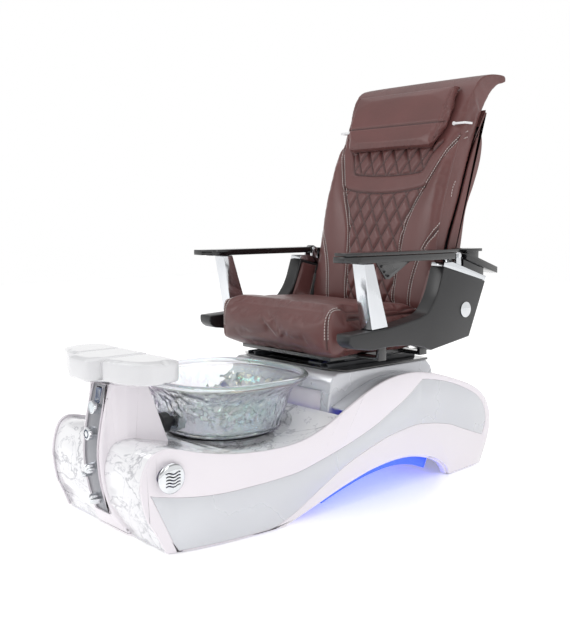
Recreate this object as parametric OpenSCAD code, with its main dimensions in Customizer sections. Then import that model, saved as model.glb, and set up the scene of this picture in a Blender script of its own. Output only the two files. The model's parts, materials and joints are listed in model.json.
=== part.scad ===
// Spa pedicure unit: a moulded base with a glass foot bowl, a control column with a
// footrest, and a sliding, reclining chair with lift-up arms on a pedestal.
// +Z is up, +Y runs from the footrest to the chair, X = 0 is the middle of the unit.

/* [Base] */
// Length of the base from its nose to its tail
base_l = 1539; // [1300:1:1850]
// Height of the side panels at their crest
crest_h = 405; // [340:1:490]
// Width across the side panels where they are widest
base_w = 670; // [640:1:810]
// Thickness of the side panel shells
panel_t = 10; // [8:0.5:13]
// Depth of the recess that holds a side inlay
inlay_depth = 4; // [2:0.5:6]
// Thickness of the deck and saddle skins
skin_t = 8; // [5:0.5:12]
// How far the deck lies below the edge of the side panels
skin_drop = 6; // [3:0.5:10]
// Height of the shadow gap under the base
floor_gap = 4; // [2:0.5:8]
// Side of the square tubes in the base frame
tube_w = 30; // [24:1:40]

/* [Column] */
// Width of the column where it meets the deck
column_w = 196; // [170:1:240]
// Wall of the column shell
column_t = 6; // [4:0.5:8]
// Width of the steel control strip
strip_w = 78; // [72:1:96]
// Diameter of the two round selector knobs
knob_d = 40; // [32:1:48]
// Diameter of the two water knobs
tap_d = 34; // [28:1:41]

/* [Bowl] */
// Width of the glass bowl across its rim, 1.05 times its depth
bowl_w = 540; // [450:1:570]
// Height of the glass bowl
bowl_h = 182; // [150:1:220]
// Thickness of the glass
glass_t = 9; // [7:0.5:12]
// Diameter of the drain in the bowl
drain_d = 52; // [42:1:64]

/* [Footrest] */
// Width of the footrest
footrest_w = 492; // [410:1:590]
// Depth of the footrest from front to back
footrest_d = 228; // [190:1:275]
// Thickness of the footrest
footrest_t = 66; // [54:1:80]

/* [Pedestal] */
// Width of the pedestal
pedestal_w = 520; // [430:1:560]
// Length of the pedestal top
pedestal_l = 530; // [440:1:640]
// How far the pedestal stands above the panel crest
pedestal_rise = 22; // [16:1:40]
// Thickness of the black top plate
plate_t = 8; // [6:0.5:10]

/* [Chair] */
// Width of the seat cushion
seat_w = 596; // [500:1:606]
// Depth of the seat cushion
seat_d = 480; // [400:1:500]
// Thickness of the seat cushion
seat_t = 166; // [140:1:190]
// Width of the backrest
back_w = 612; // [500:1:624]
// Height of the backrest
back_h = 848; // [710:1:1020]
// Thickness of the backrest cushion
cushion_t = 62; // [52:1:75]
// Clear width between the two arm shells
arm_span = 660; // [650:1:760]
// Width of each arm shell
arm_w = 62; // [50:1:75]
// Height of the armrest tops above the floor
arm_h = 810; // [790:1:900]
// Radius of the armrest hinge knuckles
knuckle_r = 16; // [13:1:19]
// Diameter of the hinge pins
pin_d = 12; // [10:0.5:14]

/* [Fits] */
// Gap between neighbouring pieces that are fixed together
seam = 0.5; // [0.3:0.1:1]
// Radial clearance of a shaft in its bore
run_fit = 0.08; // [0.03:0.01:0.1]
// Gap between pieces that slide or swing past each other
slide_gap = 1.5; // [1:0.1:3]

/* [Hidden] */
$fn = 64;

// ---- Curves -------------------------------------------------------------------------
// A smooth curve through a list of points, with n steps between neighbours
function smooth(p, n = 5) = [
    for (i = [0:len(p) - 2]) for (k = [0:n - 1])
        let (a = p[max(i - 1, 0)], b = p[i], c = p[i + 1], d = p[min(i + 2, len(p) - 1)], t = k / n)
        0.5 * (2 * b + (c - a) * t + (2 * a - 5 * b + 4 * c - d) * t * t
            + (3 * b - a - 3 * c + d) * t * t * t),
    p[len(p) - 1]];
// The same curve moved sideways by d, to the right of its direction of travel
function shifted(p, d) = [
    for (i = [0:len(p) - 1])
        let (t = p[min(i + 1, len(p) - 1)] - p[max(i - 1, 0)], u = t / norm(t))
        p[i] + d * [u.y, -u.x]];
function reversed(p) = [for (i = [len(p) - 1:-1:0]) p[i]];
function span(p, low, high) = [for (q = p) if (q.x >= low && q.x <= high) q];
// A ribbon d thick on the right-hand side of a curve
function ribbon(p, d) = concat(p, reversed(shifted(p, d)));
// A rounded square of half-width r, made wider than it is deep by the factor wide
function squircle(r, wide = 1, power = 2.7, steps = 64) = [
    for (i = [0:steps - 1])
        let (a = 360 * i / steps, c = cos(a), s = sin(a))
        r / pow(pow(abs(c), power) + pow(abs(s), power), 1 / power) * [wide * c, s]];

// ---- Places -------------------------------------------------------------------------
// The whole unit is centred between the footrest's front edge and the top of the back
back_reach = 425.75;
front_end = base_l * 130 / 1539 + 40 - footrest_d;
rear_end = base_l * 700 / 1539 + seam - 26 + seat_d + back_reach;
nose_y = -(front_end + rear_end) / 2;
tail_y = nose_y + base_l;
half_w = base_w / 2;
// The outlines are drawn for a base 1539 long and 405 high, and stretched to its real size
function on_base(p) = [for (q = p) [nose_y + q.x * base_l / 1539, q.y * crest_h / 405]];
function along(x) = nose_y + x * base_l / 1539;
body_line = smooth(on_base([[66, 0], [38, 60], [13, 110], [0, 190], [7, 240], [29, 283], [64, 299],
    [104, 294], [165, 278], [279, 258], [407, 249], [519, 254], [619, 280], [719, 325], [819, 368],
    [919, 397], [1039, 405], [1155, 388], [1279, 355], [1404, 312], [1491, 260], [1533, 195],
    [1536, 140], [1519, 85], [1484, 25], [1469, 0]]), 4);
arch_line = smooth(on_base([[1270, 0], [1248, 38], [1200, 70], [1141, 93], [1060, 112], [972, 118],
    [858, 109], [753, 88], [668, 66], [570, 36], [480, 10], [440, 0]]), 4);
panel_outline = concat(body_line, arch_line);
inlay_outline = concat(
    on_base([[94, 8], [26, 171]]),
    smooth(on_base([[26, 171], [108, 158], [212, 150], [327, 151], [407, 154], [509, 160], [601, 179],
        [673, 196], [758, 219], [855, 250], [932, 283], [1015, 320], [1101, 373]]), 3),
    smooth(on_base([[1101, 373], [1157, 365], [1244, 346], [1320, 322], [1417, 282], [1472, 245],
        [1500, 200], [1506, 155], [1482, 112]]), 3),
    smooth(on_base([[1482, 112], [1345, 160], [1277, 185], [1199, 203], [1131, 213], [1060, 218],
        [934, 205], [857, 188], [780, 166], [712, 142], [640, 109], [555, 66], [497, 37], [420, 8]]), 3));
// Half-width of the base along its length: widest beside the bowl, rounded in at the nose
widest_y = along(516);
function bow(y) = half_w - (y < widest_y ? 45 * pow((widest_y - y) / (0.29 * base_l), 3.15)
    : 52 * pow((y - widest_y) / (0.665 * base_l), 2));
plan_ys = concat([for (i = [-1:14]) nose_y + i * base_l / 78], [for (i = [4:16])
    nose_y + i * base_l / 15.5]);
deck_h = 249 / 405 * crest_h - skin_drop;
deck_end_y = along(700);
arch_h = 118 / 405 * crest_h;

bowl_y = along(467);
bowl_wide = 1.05;
bowl_r = bowl_w / 2 / bowl_wide;
bowl_foot_r = bowl_r - 66;
neck_r = bowl_r - 40;
bowl_z = deck_h + 8;
rim_z = bowl_z + bowl_h;
neck_h = bowl_h - 50;
column_top = rim_z + 21;
column_back = along(130);
footrest_z = column_top + 11;
footrest_y = column_back + 40;

pedestal_y = deck_end_y + seam;
pedestal_h = crest_h + pedestal_rise;
plate_top = pedestal_h + plate_t;
rail_h = 14;
carriage_z = plate_top + rail_h + slide_gap;
seat_z = carriage_z + 12;
seat_front = pedestal_y - 35;
cushion_z = seat_z + 17;
cushion_top = cushion_z + seat_t;
rail_x = 190;
post_y = [pedestal_y + 78, pedestal_y + pedestal_l - 78];
seat_rear = seat_front + seat_d;

pivot_y = seat_rear + 60;
pivot_z = seat_z + 58;
back_foot_y = seat_rear + 9;
back_foot_z = cushion_top - 46;
arm_in = arm_span / 2;
arm_out = arm_in + arm_w;
arm_mid = arm_in + arm_w / 2;
rest_t = 22;
knuckle_y = seat_rear + 54;
knuckle_z = arm_h - rest_t / 2;
knuckle_w = 30;
ear_t = 8;

// ---- Ways of drawing ----------------------------------------------------------------
// Extrudes a side view, drawn as [y, z], from x0 to x1
module across(x0, x1) translate([x0, 0, 0]) rotate([90, 0, 90]) linear_extrude(x1 - x0) children();
// The same on both sides of the middle
module both() { children(); mirror([1, 0, 0]) children(); }
module side(s) mirror([s < 0 ? 1 : 0, 0, 0]) children();
// A wall that follows the bowed side, from inset to inset + t behind the outer face
module side_wall(inset, t) translate([0, 0, -1]) linear_extrude(crest_h + 2)
    polygon(concat([for (y = plan_ys) [bow(y) - inset, y]],
        [for (y = reversed(plan_ys)) [bow(y) - inset - t, y]]));
// Everything between the two side panels
module between_panels(inset) translate([0, 0, -1]) linear_extrude(crest_h + 60)
    polygon(concat([for (y = plan_ys) [bow(y) - inset, y]],
        [for (y = reversed(plan_ys)) [-bow(y) + inset, y]]));
module above_floor_gap() translate([-half_w, nose_y - 5, floor_gap]) cube([base_w, base_l + 10,
    2 * crest_h]);
// A cylinder along X, Y or Z from its centre
module rod_x(r, l) rotate([0, 90, 0]) cylinder(r = r, h = l, center = true);
module rod_y(r, l) rotate([90, 0, 0]) cylinder(r = r, h = l, center = true);

// ---- Base ---------------------------------------------------------------------------
jet_y = along(72);
jet_z = 221 / 405 * crest_h;
jet_r = 43;
jet_spigot_r = 30;
lip_w = 26;
lip_t = 7;

module side_panel(s) color("#E4DEE4") side(s) difference() {
    union() {
        intersection() {
            across(0, half_w + 1) polygon(panel_outline);
            side_wall(0, panel_t);
            above_floor_gap();
        }
        intersection() {
            across(0, half_w + 1) polygon(ribbon(arch_line, -lip_t));
            side_wall(panel_t - 0.01, lip_w);
            above_floor_gap();
        }
    }
    intersection() {
        across(0, half_w + 2) polygon(inlay_outline);
        side_wall(-1, inlay_depth + 1);
    }
    translate([half_w - 20, jet_y, jet_z]) rod_x(jet_spigot_r + seam, 120);
}
module side_panel_left() side_panel(-1);
module side_panel_right() side_panel(1);

module side_inlay(s) color("#D4D5D8") side(s) intersection() {
    across(0, half_w + 2) polygon(inlay_outline);
    side_wall(1, inlay_depth - 1);
    above_floor_gap();
}
module side_inlay_left() side_inlay(-1);
module side_inlay_right() side_inlay(1);

skin_line = shifted(body_line, skin_drop);
module skin(low, high) intersection() {
    across(-half_w, half_w) polygon(ribbon(span(skin_line, low, high), skin_t));
    between_panels(panel_t + seam);
    above_floor_gap();
}
// The deck has a flat-bottomed pocket that the bowl stands in
pocket_r = bowl_foot_r + 18;
module marble_deck() color("#EFEFF1") difference() {
    union() {
        difference() {
            skin(nose_y - 1, deck_end_y);
            bowl_slab(pocket_r, deck_h - skin_t, crest_h);
        }
        intersection() {
            difference() {
                bowl_slab(pocket_r + skin_t, deck_h - skin_t, crest_h);
                bowl_slab(pocket_r, deck_h, crest_h);
            }
            across(-half_w, half_w) polygon(concat(span(shifted(skin_line, skin_t / 2), nose_y, deck_end_y),
                [[deck_end_y, 0], [nose_y, 0]]));
        }
    }
    translate([0, 0, -1]) linear_extrude(crest_h) column_plan(-seam, column_foot + 7);
    translate([0, bowl_y, 0]) cylinder(r = drain_d / 2 + 14, h = crest_h);
}
module saddle_skin() color("#B9BAC0") difference() {
    skin(deck_end_y + seam, tail_y + 1);
    translate([-pedestal_w / 2 - seam, deck_end_y - 5, arch_h])
        cube([pedestal_w + 2 * seam, pedestal_l + 5 + 2 * seam, crest_h]);
}

// The pan under the base hangs below the arch, as a shallow tray with its rim up
pan_line = span(arch_line, along(620), along(1200));
pan_inset = panel_t + lip_w + 16;
pan_drop = 42;
module underbody_pan() color("#E8E6EE") intersection() {
    difference() {
        intersection() {
            across(-half_w, half_w) polygon(ribbon(shifted(pan_line, -pan_drop), pan_drop + 12));
            between_panels(pan_inset);
        }
        intersection() {
            across(-half_w, half_w) polygon(ribbon(shifted(pan_line, -pan_drop + 4), pan_drop + 20));
            between_panels(pan_inset + 4);
        }
    }
    above_floor_gap();
}

frame_x = 165;
frame_z = arch_h + 14;
front_leg_y = along(185);
mid_leg_y = along(395);
rear_leg_y = along(1390);
foot_pad_h = 12;
module leg(y, top) translate([frame_x - tube_w / 2, y - tube_w / 2, foot_pad_h + 8]) difference() {
    cube([tube_w, tube_w, top - foot_pad_h - 8]);
    translate([tube_w / 2, tube_w / 2, -1]) cylinder(r = 5 + seam, h = 33);
}
module base_frame() color("#4A4C50") {
    both() {
        translate([frame_x - tube_w / 2, front_leg_y - tube_w / 2, frame_z])
            cube([tube_w, rear_leg_y - front_leg_y + tube_w, tube_w]);
        for (y = [front_leg_y, mid_leg_y, rear_leg_y]) leg(y, frame_z + 1);
        for (y = post_y)
            translate([frame_x - tube_w / 2, y - tube_w / 2, frame_z + tube_w - 1])
                cube([tube_w, tube_w, pedestal_h - wall_t - seam - frame_z - tube_w + 1]);
    }
    for (y = [front_leg_y, mid_leg_y, pedestal_y + pedestal_l / 2, rear_leg_y])
        translate([-frame_x, y - tube_w / 2, frame_z]) cube([2 * frame_x, tube_w, tube_w]);
}
module leveling_feet() color("#303030") both() for (y = [front_leg_y, mid_leg_y, rear_leg_y])
    translate([frame_x, y, 0]) {
        cylinder(r = 22, h = foot_pad_h);
        cylinder(r = 5, h = 44);
        cylinder(r = 9, h = foot_pad_h + 7, $fn = 6);
    }

module led_strips() color("#3A6CFF") both() intersection() {
    across(0, half_w) polygon(ribbon(shifted(pan_line, 1), 5));
    side_wall(panel_t + lip_w + 2, 8);
}

// The vent cover is a domed chrome disc with wavy slots and a spigot through the panel
jet_face = bow(jet_y + jet_r) + seam;
slot_w = 3.4;
dome = [for (a = [90:-15:0]) [jet_r * sin(a), 3 + 9 * cos(a)]];
function wave(z) = [for (i = [0:8]) [-24 + i * 6, z + 2.6 * sin(i * 64)]];
module jet_covers() color("#D8DADC") both() translate([jet_face, jet_y, jet_z]) difference() {
    union() {
        rotate([0, 90, 0]) rotate_extrude() polygon(concat([[0, 0], [jet_r, 0]], dome));
        translate([-24, 0, 0]) rotate([0, 90, 0]) cylinder(r = jet_spigot_r, h = 25);
    }
    translate([-25, 0, 0]) rotate([0, 90, 0]) cylinder(r = jet_spigot_r - 3, h = 27);
    for (i = [-2:2]) across(1, 30) polygon(ribbon(wave(i * 9), slot_w));
}

// ---- Column -------------------------------------------------------------------------
// The column's front bows out; its plan widens from the strip to the deck's cheeks
column_face = smooth([[nose_y + 64, floor_gap], [nose_y + 32, 62], [nose_y + 4, 155], [nose_y - 5, 245],
    [nose_y + 5, 0.73 * column_top], [nose_y + 27, 0.95 * column_top], [nose_y + 36, column_top]], 4);
column_foot = column_back + 78;
module column_plan(inset, rear = column_foot) {
    a = strip_w / 2 + 15 - inset;
    b = column_w / 2 - inset;
    polygon([[-a, nose_y - 20], [a, nose_y - 20], [a + 3, nose_y + 22 + inset], [b - 6, nose_y + 62],
        [b, nose_y + 100], [b, rear], [-b, rear], [-b, nose_y + 100],
        [-b + 6, nose_y + 62], [-a - 3, nose_y + 22 + inset]]);
}
module column_body(inset) intersection() {
    translate([0, 0, -1]) linear_extrude(2 * column_top) column_plan(inset);
    across(-column_w, column_w) polygon(concat(shifted(column_face, inset),
        [[column_back - inset, column_top - inset], [column_foot - inset, deck_h + 8],
         [column_foot - inset, floor_gap]]));
}
strip_t = 3;
strip_z = 62;
module strip_slab(depth, t, grow) intersection() {
    across(-strip_w / 2 - grow, strip_w / 2 + grow) polygon(ribbon(shifted(column_face, depth), t));
    translate([-strip_w, nose_y - 50, strip_z - grow]) cube([2 * strip_w, 300,
        column_top - strip_z + grow - 6]);
}
module column_shell() color("#E6E0E6") difference() {
    column_body(0);
    column_body(column_t);
    strip_slab(-20, 20 + strip_t, seam);
    for (c = controls) control_hole(c, c[2] + seam + 1);
    translate([-23, column_back - 20, spout_z - 7]) cube([46, 60, 14]);
    translate([0, column_foot - 30, bowl_z + jet_port_z]) rod_y(20, 60);
    display_hole();
    translate([-column_w, front_leg_y - tube_w / 2 - seam, frame_z - seam])
        cube([2 * column_w, tube_w + 2 * seam, tube_w + 2 * seam]);
}
// Each control on the strip: [x, z, spindle radius]
face_slope = 12;
jet_knob_at = [0, 0.835 * column_top, 7];
selector_at = [-4, 0.665 * column_top, 7];
hot_at = [8, 0.445 * column_top, 8];
diverter_at = [-25, 0.39 * column_top, 5];
cold_at = [4, 0.235 * column_top, 8];
controls = [jet_knob_at, selector_at, hot_at, diverter_at, cold_at];
// y of the column's face at height z
function face_y(z) = lookup(z, [for (q = column_face) [q.y, q.x]]);
module control_hole(c, r) translate([c[0], face_y(c[1]), c[1]]) rod_y(r, 90);
module control_strip() color("#8C8C8E") difference() {
    strip_slab(0, strip_t, 0);
    for (c = controls) control_hole(c, c[2] + seam);
    display_hole();
}
display_z = 0.945 * column_top - 17;
module display_hole() translate([0, face_y(display_z), display_z]) cube([34.4, 40, 52.4], center = true);
module display_panel() color("#6F7FA8") translate([0, face_y(display_z) + 3, display_z]) rotate([-9, 0, 0])
    difference() {
        cube([33, 9, 46], center = true);
        translate([0, -4.5, 5]) cube([22, 2, 22], center = true);
    }

// A knob stands on its spindle, which passes through the strip with running clearance
knob_gap = 1.2;
function knob_seat(c, r) = min(face_y(c[1] + r), face_y(c[1] - r), face_y(c[1])) - knob_gap;
module turning_knob(c, r, depth, skirt, spindle = 30) translate([c[0], knob_seat(c, r + skirt), c[1]])
    rotate([90, 0, 0]) {
    rotate_extrude() polygon([[0, 0], [r + skirt, 0], [r + skirt, 3], [r, 5], [r * 0.94, depth - 2],
        [r * 0.86, depth], [0, depth]]);
    translate([0, 0, -spindle]) cylinder(r = c[2], h = spindle + 1);
}
module jet_knob() color("#E9EEF2") turning_knob(jet_knob_at, knob_d / 2 - 3, 14, 3);
module selector_knob() color("#5A5C60") turning_knob(selector_at, knob_d / 2 - 3, 16, 3);
module tap(c) turning_knob(c, tap_d / 2 - 2, 26, 2, pipe_y - 24 - knob_seat(c, tap_d / 2));
module hot_water_knob() color("#D8DADC") tap(hot_at);
module cold_water_knob() color("#D8DADC") tap(cold_at);
module diverter_pull() color("#C8CACC") translate([diverter_at[0], knob_seat(diverter_at, 9),
    diverter_at[1]])
    rotate([90, 0, 0]) {
        rotate_extrude() polygon([[0, 0], [6, 0], [6, 12], [9, 15], [9, 22], [7, 24], [0, 24]]);
        translate([0, 0, -30]) cylinder(r = diverter_at[2], h = 31);
    }

pipe_y = face_y(cold_at[1]) + 70;
pipe_r = 8;
module mixing_valve() color("#B08D57") {
    translate([0, pipe_y, (hot_at[1] + cold_at[1]) / 2]) cube([64, 44, hot_at[1] - cold_at[1] + 50],
        center = true);
    for (x = [-20, 20]) translate([x, pipe_y, cold_at[1] - 60]) cylinder(r = 10, h = 60);
    translate([0, pipe_y, hot_at[1] + 20]) cylinder(r = 10, h = 30);
}
module supply_pipes() color("#B87333") {
    translate([0, pipe_y, hot_at[1] + 50 + seam]) cylinder(r = pipe_r,
        h = spout_z - 6 - 2 * seam - hot_at[1] - 50);
    for (x = [-20, 20]) translate([x, pipe_y, floor_gap + 8]) cylinder(r = pipe_r,
        h = cold_at[1] - 60 - seam - floor_gap - 8);
}
spout_z = column_top - 13;
module filler_spout() color("#D8DADC") difference() {
    union() {
        translate([-9, pipe_y - 9, spout_z - 6]) cube([18, column_back - pipe_y + 20, 12]);
        translate([-22, column_back, spout_z - 6]) cube([44, bowl_y - bowl_r + 30 - column_back, 12]);
    }
    translate([-19, column_back + 40, spout_z - 3.5]) cube([38, 200, 7]);
}
bracket_y = nose_y + 60;
module footrest_bracket() color("#7C7E82") difference() {
    translate([-60, bracket_y, column_top]) cube([120, column_back - bracket_y - 8,
        footrest_z - column_top - slide_gap]);
    for (x = [-42, 42]) for (y = [bracket_y + 16, column_back - 26])
        translate([x, y, column_top - 1]) cylinder(r = 4.2, h = 20);
}
// Two wings on either side of a middle lobe that stands further forward
module footrest() color("#EFEFF0") translate([0, footrest_y, footrest_z]) {
    wing = footrest_w / 2;
    lobe = 72;
    d = footrest_d;
    for (s = [-1, 1]) side(s) linear_extrude(footrest_t) polygon(concat([[lobe - 1, -1], [lobe - 1,
        -0.83 * d]],
        smooth([[lobe + 8, -0.83 * d], [lobe + 70, -0.78 * d], [wing - 62, -0.71 * d], [wing - 20,
            -0.61 * d],
            [wing, -0.46 * d], [wing - 4, -0.24 * d], [wing - 22, -0.04 * d], [wing - 34, 0]]), [[lobe,
                0]]));
    linear_extrude(footrest_t + 1) polygon(concat([[lobe, 0], [-lobe, 0], [-lobe, -0.8 * d]],
        smooth([[-lobe, -0.86 * d], [-lobe + 7, -0.95 * d], [-lobe + 26, -0.99 * d], [0, -d],
            [lobe - 26, -0.99 * d], [lobe - 7, -0.95 * d], [lobe, -0.86 * d]]), [[lobe, -0.8 * d]]));
}

// ---- Bowl ---------------------------------------------------------------------------
module bowl_slice(r, z, t) translate([0, 0, z]) linear_extrude(t)
    polygon(squircle(r, bowl_wide));
module bowl_slab(r, z, t) translate([0, bowl_y, 0]) bowl_slice(r, z, t);
module glass_bowl() color("#E8F4F8", 0.5) translate([0, bowl_y, bowl_z]) difference() {
    union() {
        hull() { bowl_slice(bowl_foot_r, 0, 1); bowl_slice(neck_r, neck_h, 1); }
        hull() { bowl_slice(neck_r, neck_h, 1); bowl_slice(bowl_r - 20, bowl_h - 24, 1); }
        hull() { bowl_slice(bowl_r - 20, bowl_h - 24, 1); bowl_slice(bowl_r, bowl_h - 12, 1); }
        bowl_slice(bowl_r, bowl_h - 12, 12);
    }
    hull() { bowl_slice(bowl_foot_r - glass_t, glass_t, 1); bowl_slice(neck_r - glass_t, neck_h, 1); }
    hull() { bowl_slice(neck_r - glass_t, neck_h, 1); bowl_slice(bowl_r - 20 - glass_t, bowl_h - 24, 1); }
    hull() { bowl_slice(bowl_r - 20 - glass_t, bowl_h - 24, 1); bowl_slice(bowl_r - 14, bowl_h, 1); }
    translate([0, 0, -1]) cylinder(r = drain_d / 2 - 8, h = glass_t + 2);
    translate([0, -bowl_foot_r, jet_port_z]) rod_y(16 + seam, 120);
}
module bowl_gasket() color("#3C3C3E") translate([0, bowl_y, deck_h + 0.3]) difference() {
    cylinder(r = bowl_foot_r - 20, h = bowl_z - deck_h - 0.3);
    translate([0, 0, -1]) cylinder(r = bowl_foot_r - 34, h = 20);
}
drain_neck_r = drain_d / 2 - 8 - seam;
module drain_fitting() color("#C8CACC") translate([0, bowl_y, bowl_z]) difference() {
    union() {
        translate([0, 0, glass_t]) cylinder(r = drain_d / 2, h = 3);
        translate([0, 0, -60]) cylinder(r = drain_neck_r, h = 62 + glass_t);
        translate([0, 0, -6 - skin_t - 10]) cylinder(r = drain_d / 2 + 6, h = 8);
    }
    translate([0, 0, -61]) cylinder(r = drain_neck_r - 3, h = 100);
}
module drain_stopper() color("#D8DADC") translate([0, bowl_y, bowl_z + glass_t]) {
    translate([0, 0, 3.4]) cylinder(r = drain_neck_r + 1, h = 4);
    translate([0, 0, -22]) cylinder(r = 5, h = 26);
    for (a = [0, 60, 120]) translate([0, 0, -18]) rotate(a) translate([-drain_neck_r + 4, -1, 0])
        cube([2 * drain_neck_r - 8, 2, 14]);
}
drain_z = bowl_z - 75;
pump_y = bowl_y + 130;
module drain_pipe() color("#D9D9D6") difference() {
    union() {
        translate([0, bowl_y, drain_z - 18]) cylinder(r = drain_neck_r + 5, h = 42);
        translate([0, (bowl_y + pump_y) / 2 - 6, drain_z]) rod_y(14, pump_y - bowl_y - 12);
    }
    translate([0, bowl_y, drain_z - 10]) cylinder(r = drain_neck_r + seam, h = 60);
}
module drain_pump() color("#2E3034") {
    translate([0, pump_y + 26, drain_z]) rod_y(34, 76);
    translate([0, pump_y + 88, drain_z]) rod_y(26, 50);
    translate([-frame_x - tube_w / 2, pump_y - 6, frame_z + tube_w + seam]) cube([2 * frame_x + tube_w,
        60, 4]);
}
// The pipeless jet: a motor outside the bowl wall, and an impeller in a pierced cap inside it
jet_port_z = 46;
wall_slope = (neck_r - bowl_foot_r) / neck_h;
jet_wall_y = bowl_y - bowl_foot_r - wall_slope * jet_port_z;
module jet_motor() color("#26272A") translate([0, 0, bowl_z + jet_port_z]) {
    translate([0, jet_wall_y - 24, 0]) rod_y(32, 26);
    translate([0, jet_wall_y - 2, 0]) rod_y(16, 30);
}
housing_y = jet_wall_y + glass_t + 22;
module jet_housing() color("#2A2A2C") translate([0, housing_y, bowl_z + jet_port_z]) difference() {
    rod_y(32, 22);
    translate([0, -3, 0]) rod_y(28, 22.1);
    for (i = [0:7]) rotate([0, i * 45, 0]) translate([18, 8, 0]) rod_y(4.5, 20);
    translate([0, 8, 0]) rod_y(5, 20);
}
module jet_impeller() color("#8A8C90") translate([0, housing_y - 2, bowl_z + jet_port_z]) {
    rod_y(8, 12);
    for (i = [0:5]) rotate([0, i * 60, 0]) translate([14, 0, 0]) rotate([25, 0, 0]) cube([20, 8, 2],
        center = true);
}

// ---- Pedestal -----------------------------------------------------------------------
wall_t = 6;
ped_low = deck_h + 12;
module pedestal_side_view(inset) polygon([[pedestal_y + inset, ped_low], [pedestal_y + inset + 9,
    pedestal_h - 84],
    [pedestal_y + inset + 18, pedestal_h - 30], [pedestal_y + inset + 29, pedestal_h - 10 - inset / 2],
    [pedestal_y + inset + 46, pedestal_h - inset],
    [pedestal_y + pedestal_l - 46 - inset, pedestal_h - inset], [pedestal_y + pedestal_l - 18 - inset,
        pedestal_h - 26],
    [pedestal_y + pedestal_l - inset, pedestal_h - 80], [pedestal_y + pedestal_l - inset, ped_low]]);
module pedestal_shell() color("#C9C4CC") difference() {
    across(-pedestal_w / 2, pedestal_w / 2) pedestal_side_view(0);
    across(-pedestal_w / 2 + wall_t, pedestal_w / 2 - wall_t) pedestal_side_view(wall_t);
    across(-pedestal_w / 2 + 40, pedestal_w / 2 - 40) polygon([[pedestal_y - 5, ped_low - 1],
        [pedestal_y + 40, ped_low - 1], [pedestal_y + 40, pedestal_h - 60], [pedestal_y - 5,
            pedestal_h - 60]]);
    translate([-80, pedestal_y + 180, pedestal_h - 20]) cube([160, 160, 40]);
    both() for (y = post_y)
        translate([frame_x, y, pedestal_h - 10]) cylinder(r = 5, h = 20);
}
module backsplash() color("#F2F0F4") across(-pedestal_w / 2 + 30, pedestal_w / 2 - 30) polygon([
    [pedestal_y + wall_t + 4, ped_low - 6], [pedestal_y + wall_t + 12, pedestal_h - 84],
    [pedestal_y + wall_t + 18, pedestal_h - 52], [pedestal_y + wall_t + 25, pedestal_h - 52],
    [pedestal_y + wall_t + 19, pedestal_h - 84], [pedestal_y + wall_t + 11, ped_low - 6]]);
module top_plate() color("#1E1F21") difference() {
    translate([0, pedestal_y, pedestal_h]) linear_extrude(plate_t) polygon([
        [-pedestal_w / 2 + 60, 50], [pedestal_w / 2 - 60, 50], [pedestal_w / 2 + 8, 84],
        [pedestal_w / 2 + 8, pedestal_l - 46], [-pedestal_w / 2 - 8, pedestal_l - 46],
            [-pedestal_w / 2 - 8, 84]]);
    translate([-70, pedestal_y + 190, pedestal_h - 1]) cube([140, 140, 20]);
    both() for (y = post_y)
        translate([frame_x, y, pedestal_h - 1]) cylinder(r = 5, h = 20);
}
rail_l = pedestal_l - 100;
module slide_rails() color("#8E9094") both() translate([rail_x, pedestal_y + 52, plate_top]) difference() {
    translate([-20, 0, 0]) cube([40, rail_l, rail_h]);
    translate([-16, -1, 3]) cube([32, rail_l + 2, rail_h - 6]);
    translate([-10, -1, rail_h - 5]) cube([20, rail_l + 2, 10]);
}
module control_box() color("#2A2C30") {
    translate([-90, pedestal_y + 300, frame_z + tube_w + 1]) cube([180, 120, 70]);
    translate([0, pedestal_y + 424, frame_z + tube_w + 30]) rod_y(14, 20);
}

// ---- Seat ---------------------------------------------------------------------------
carriage_y = pedestal_y + 130;
carriage_l = rail_l - 190;
module slide_carriage() color("#55575C") {
    both() translate([rail_x, carriage_y, 0]) {
        translate([-18, 0, carriage_z]) cube([36, carriage_l, 11]);
        translate([-8.5, 0, plate_top + 5]) cube([17, carriage_l, carriage_z - plate_top]);
        translate([-14.5, 0, plate_top + 4.5]) cube([29, carriage_l, 5]);
    }
    for (y = [carriage_y, carriage_y + carriage_l - 40])
        translate([-rail_x, y, carriage_z]) cube([2 * rail_x, 40, 11]);
}
lever_y = seat_front + 150;
lever_z = seat_z - 7;
module seat_frame() color("#202124") difference() {
    union() {
        translate([-rail_x - 40, seat_front + 78, carriage_z + 11]) cube([2 * rail_x + 80, seat_d - 96,
            13]);
        for (y = [seat_front + 200, seat_front + 404]) {
            translate([-arm_in + seam, y, seat_z - 1]) cube([2 * arm_in - 2 * seam, 36, 13]);
            both() translate([arm_in - 14, y, seat_z + 2]) cube([14 - seam, 36, 60]);
        }
        both() translate([back_w / 2 - 49, 0, 0]) across(0, 10) polygon([[seat_rear - 60, seat_z - 1],
            [pivot_y + 8, seat_z - 1], [pivot_y + 24, pivot_z - 10], [pivot_y + 20, pivot_z + 14],
            [pivot_y + 6, pivot_z + 24], [pivot_y - 12, pivot_z + 22], [pivot_y - 24, pivot_z],
            [seat_rear + 8, seat_z + 12], [seat_rear - 60, seat_z + 12]]);
        for (x = [60, 120]) translate([x, lever_y - 8, lever_z - 8]) cube([8, 16, seat_z - lever_z + 8]);
    }
    both() translate([back_w / 2 - 44, pivot_y, pivot_z]) rod_x(pin_d / 2 + run_fit, 40);
    translate([130, lever_y, lever_z]) rod_x(4 + run_fit, 200);
}
module slide_lever() color("#9A9CA0") {
    translate([98, lever_y, lever_z]) rod_x(4, 92);
    translate([0, lever_y, lever_z]) rotate([12, 0, 0]) translate([140, -28, 0]) rod_y(4, 56);
    translate([0, lever_y, lever_z]) rotate([12, 0, 0]) translate([135, -54, 0]) rod_x(5, 56);
}
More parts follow.
